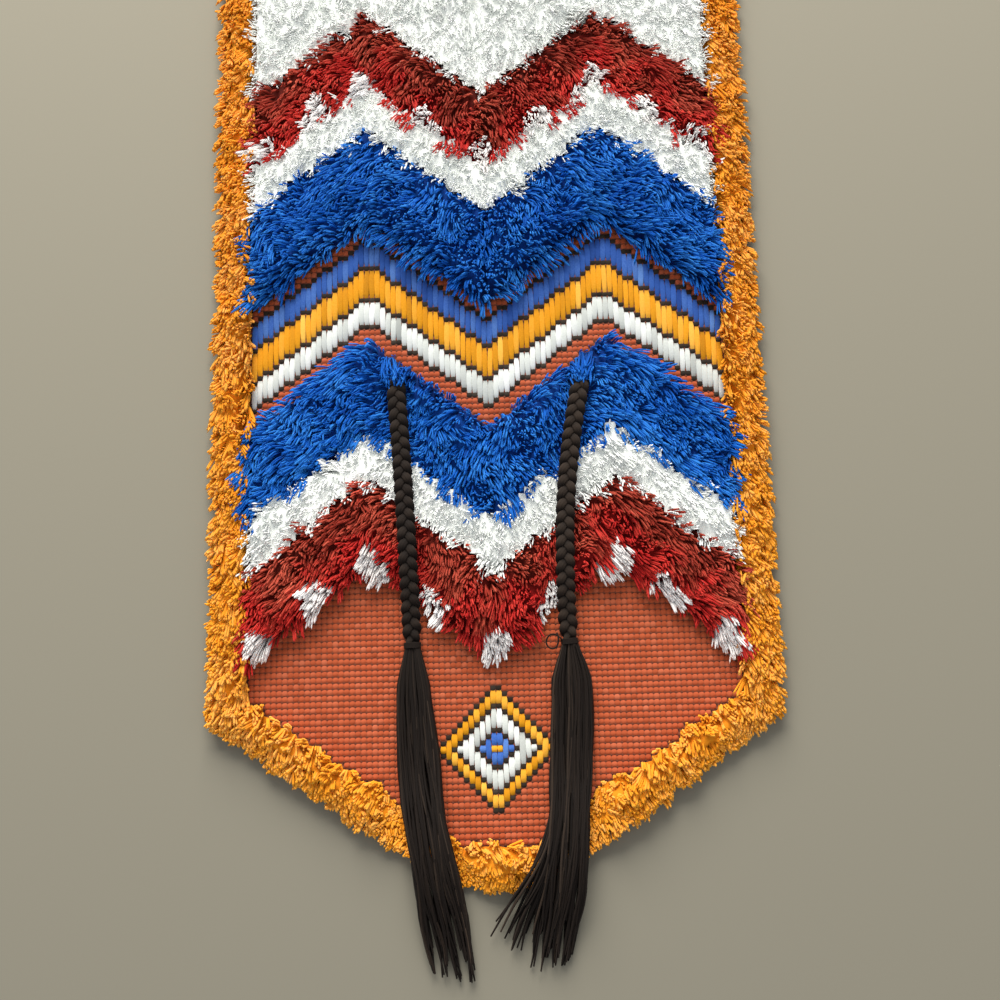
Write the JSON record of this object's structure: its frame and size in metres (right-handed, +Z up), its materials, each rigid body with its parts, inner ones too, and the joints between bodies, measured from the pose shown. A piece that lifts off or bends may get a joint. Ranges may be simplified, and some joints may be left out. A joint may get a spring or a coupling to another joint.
{
  "type": "latch-hooked wall hanging",
  "caption": "Long pointed wall hanging in latch-hooked shag and flat canvas stitching, with a gold pile border and two plaited, tasselled cords.",
  "frame": {"origin": "Middle of the hanging's box in plan, without the two plaits, on the surface that it lies on", "axes": "+X across the hanging to the viewer's right, +Y up the hanging towards its top edge, +Z up out of its face"},
  "size_m": [0.5308, 1.1094, 0.0323],
  "materials": {
    "ground_wool": "matte",
    "gold_wool": "matte",
    "red_wool": "matte",
    "white_wool": "matte",
    "blue_wool": "matte",
    "brown_wool": "matte",
    "tie_thread": "satin"
  },
  "bodies": {
    "root": {"ground_cloth": "ground_wool", "border_left": "gold_wool", "border_right": "gold_wool", "border_top": "gold_wool", "border_slant_left": "gold_wool", "border_slant_right": "gold_wool", "border_tip": "gold_wool", "pile_red_low_1": "red_wool", "pile_red_low_2": "red_wool", "pile_red_low_3": "red_wool", "pile_red_low_4": "red_wool", "pile_blue_low_1": "blue_wool", "pile_blue_low_2": "blue_wool", "pile_blue_low_3": "blue_wool", "pile_blue_low_4": "blue_wool", "pile_blue_high_1": "blue_wool", "pile_blue_high_2": "blue_wool", "pile_blue_high_3": "blue_wool", "pile_blue_high_4": "blue_wool", "pile_white_low": "white_wool", "pile_white_high": "white_wool", "pile_red_high": "red_wool", "pile_white_top": "white_wool", "plait_left": "brown_wool", "tie_left": "tie_thread", "tassel_left": "brown_wool", "plait_right": "brown_wool", "tie_right": "tie_thread", "tassel_right": "brown_wool"}
  },
  "joints": []
}
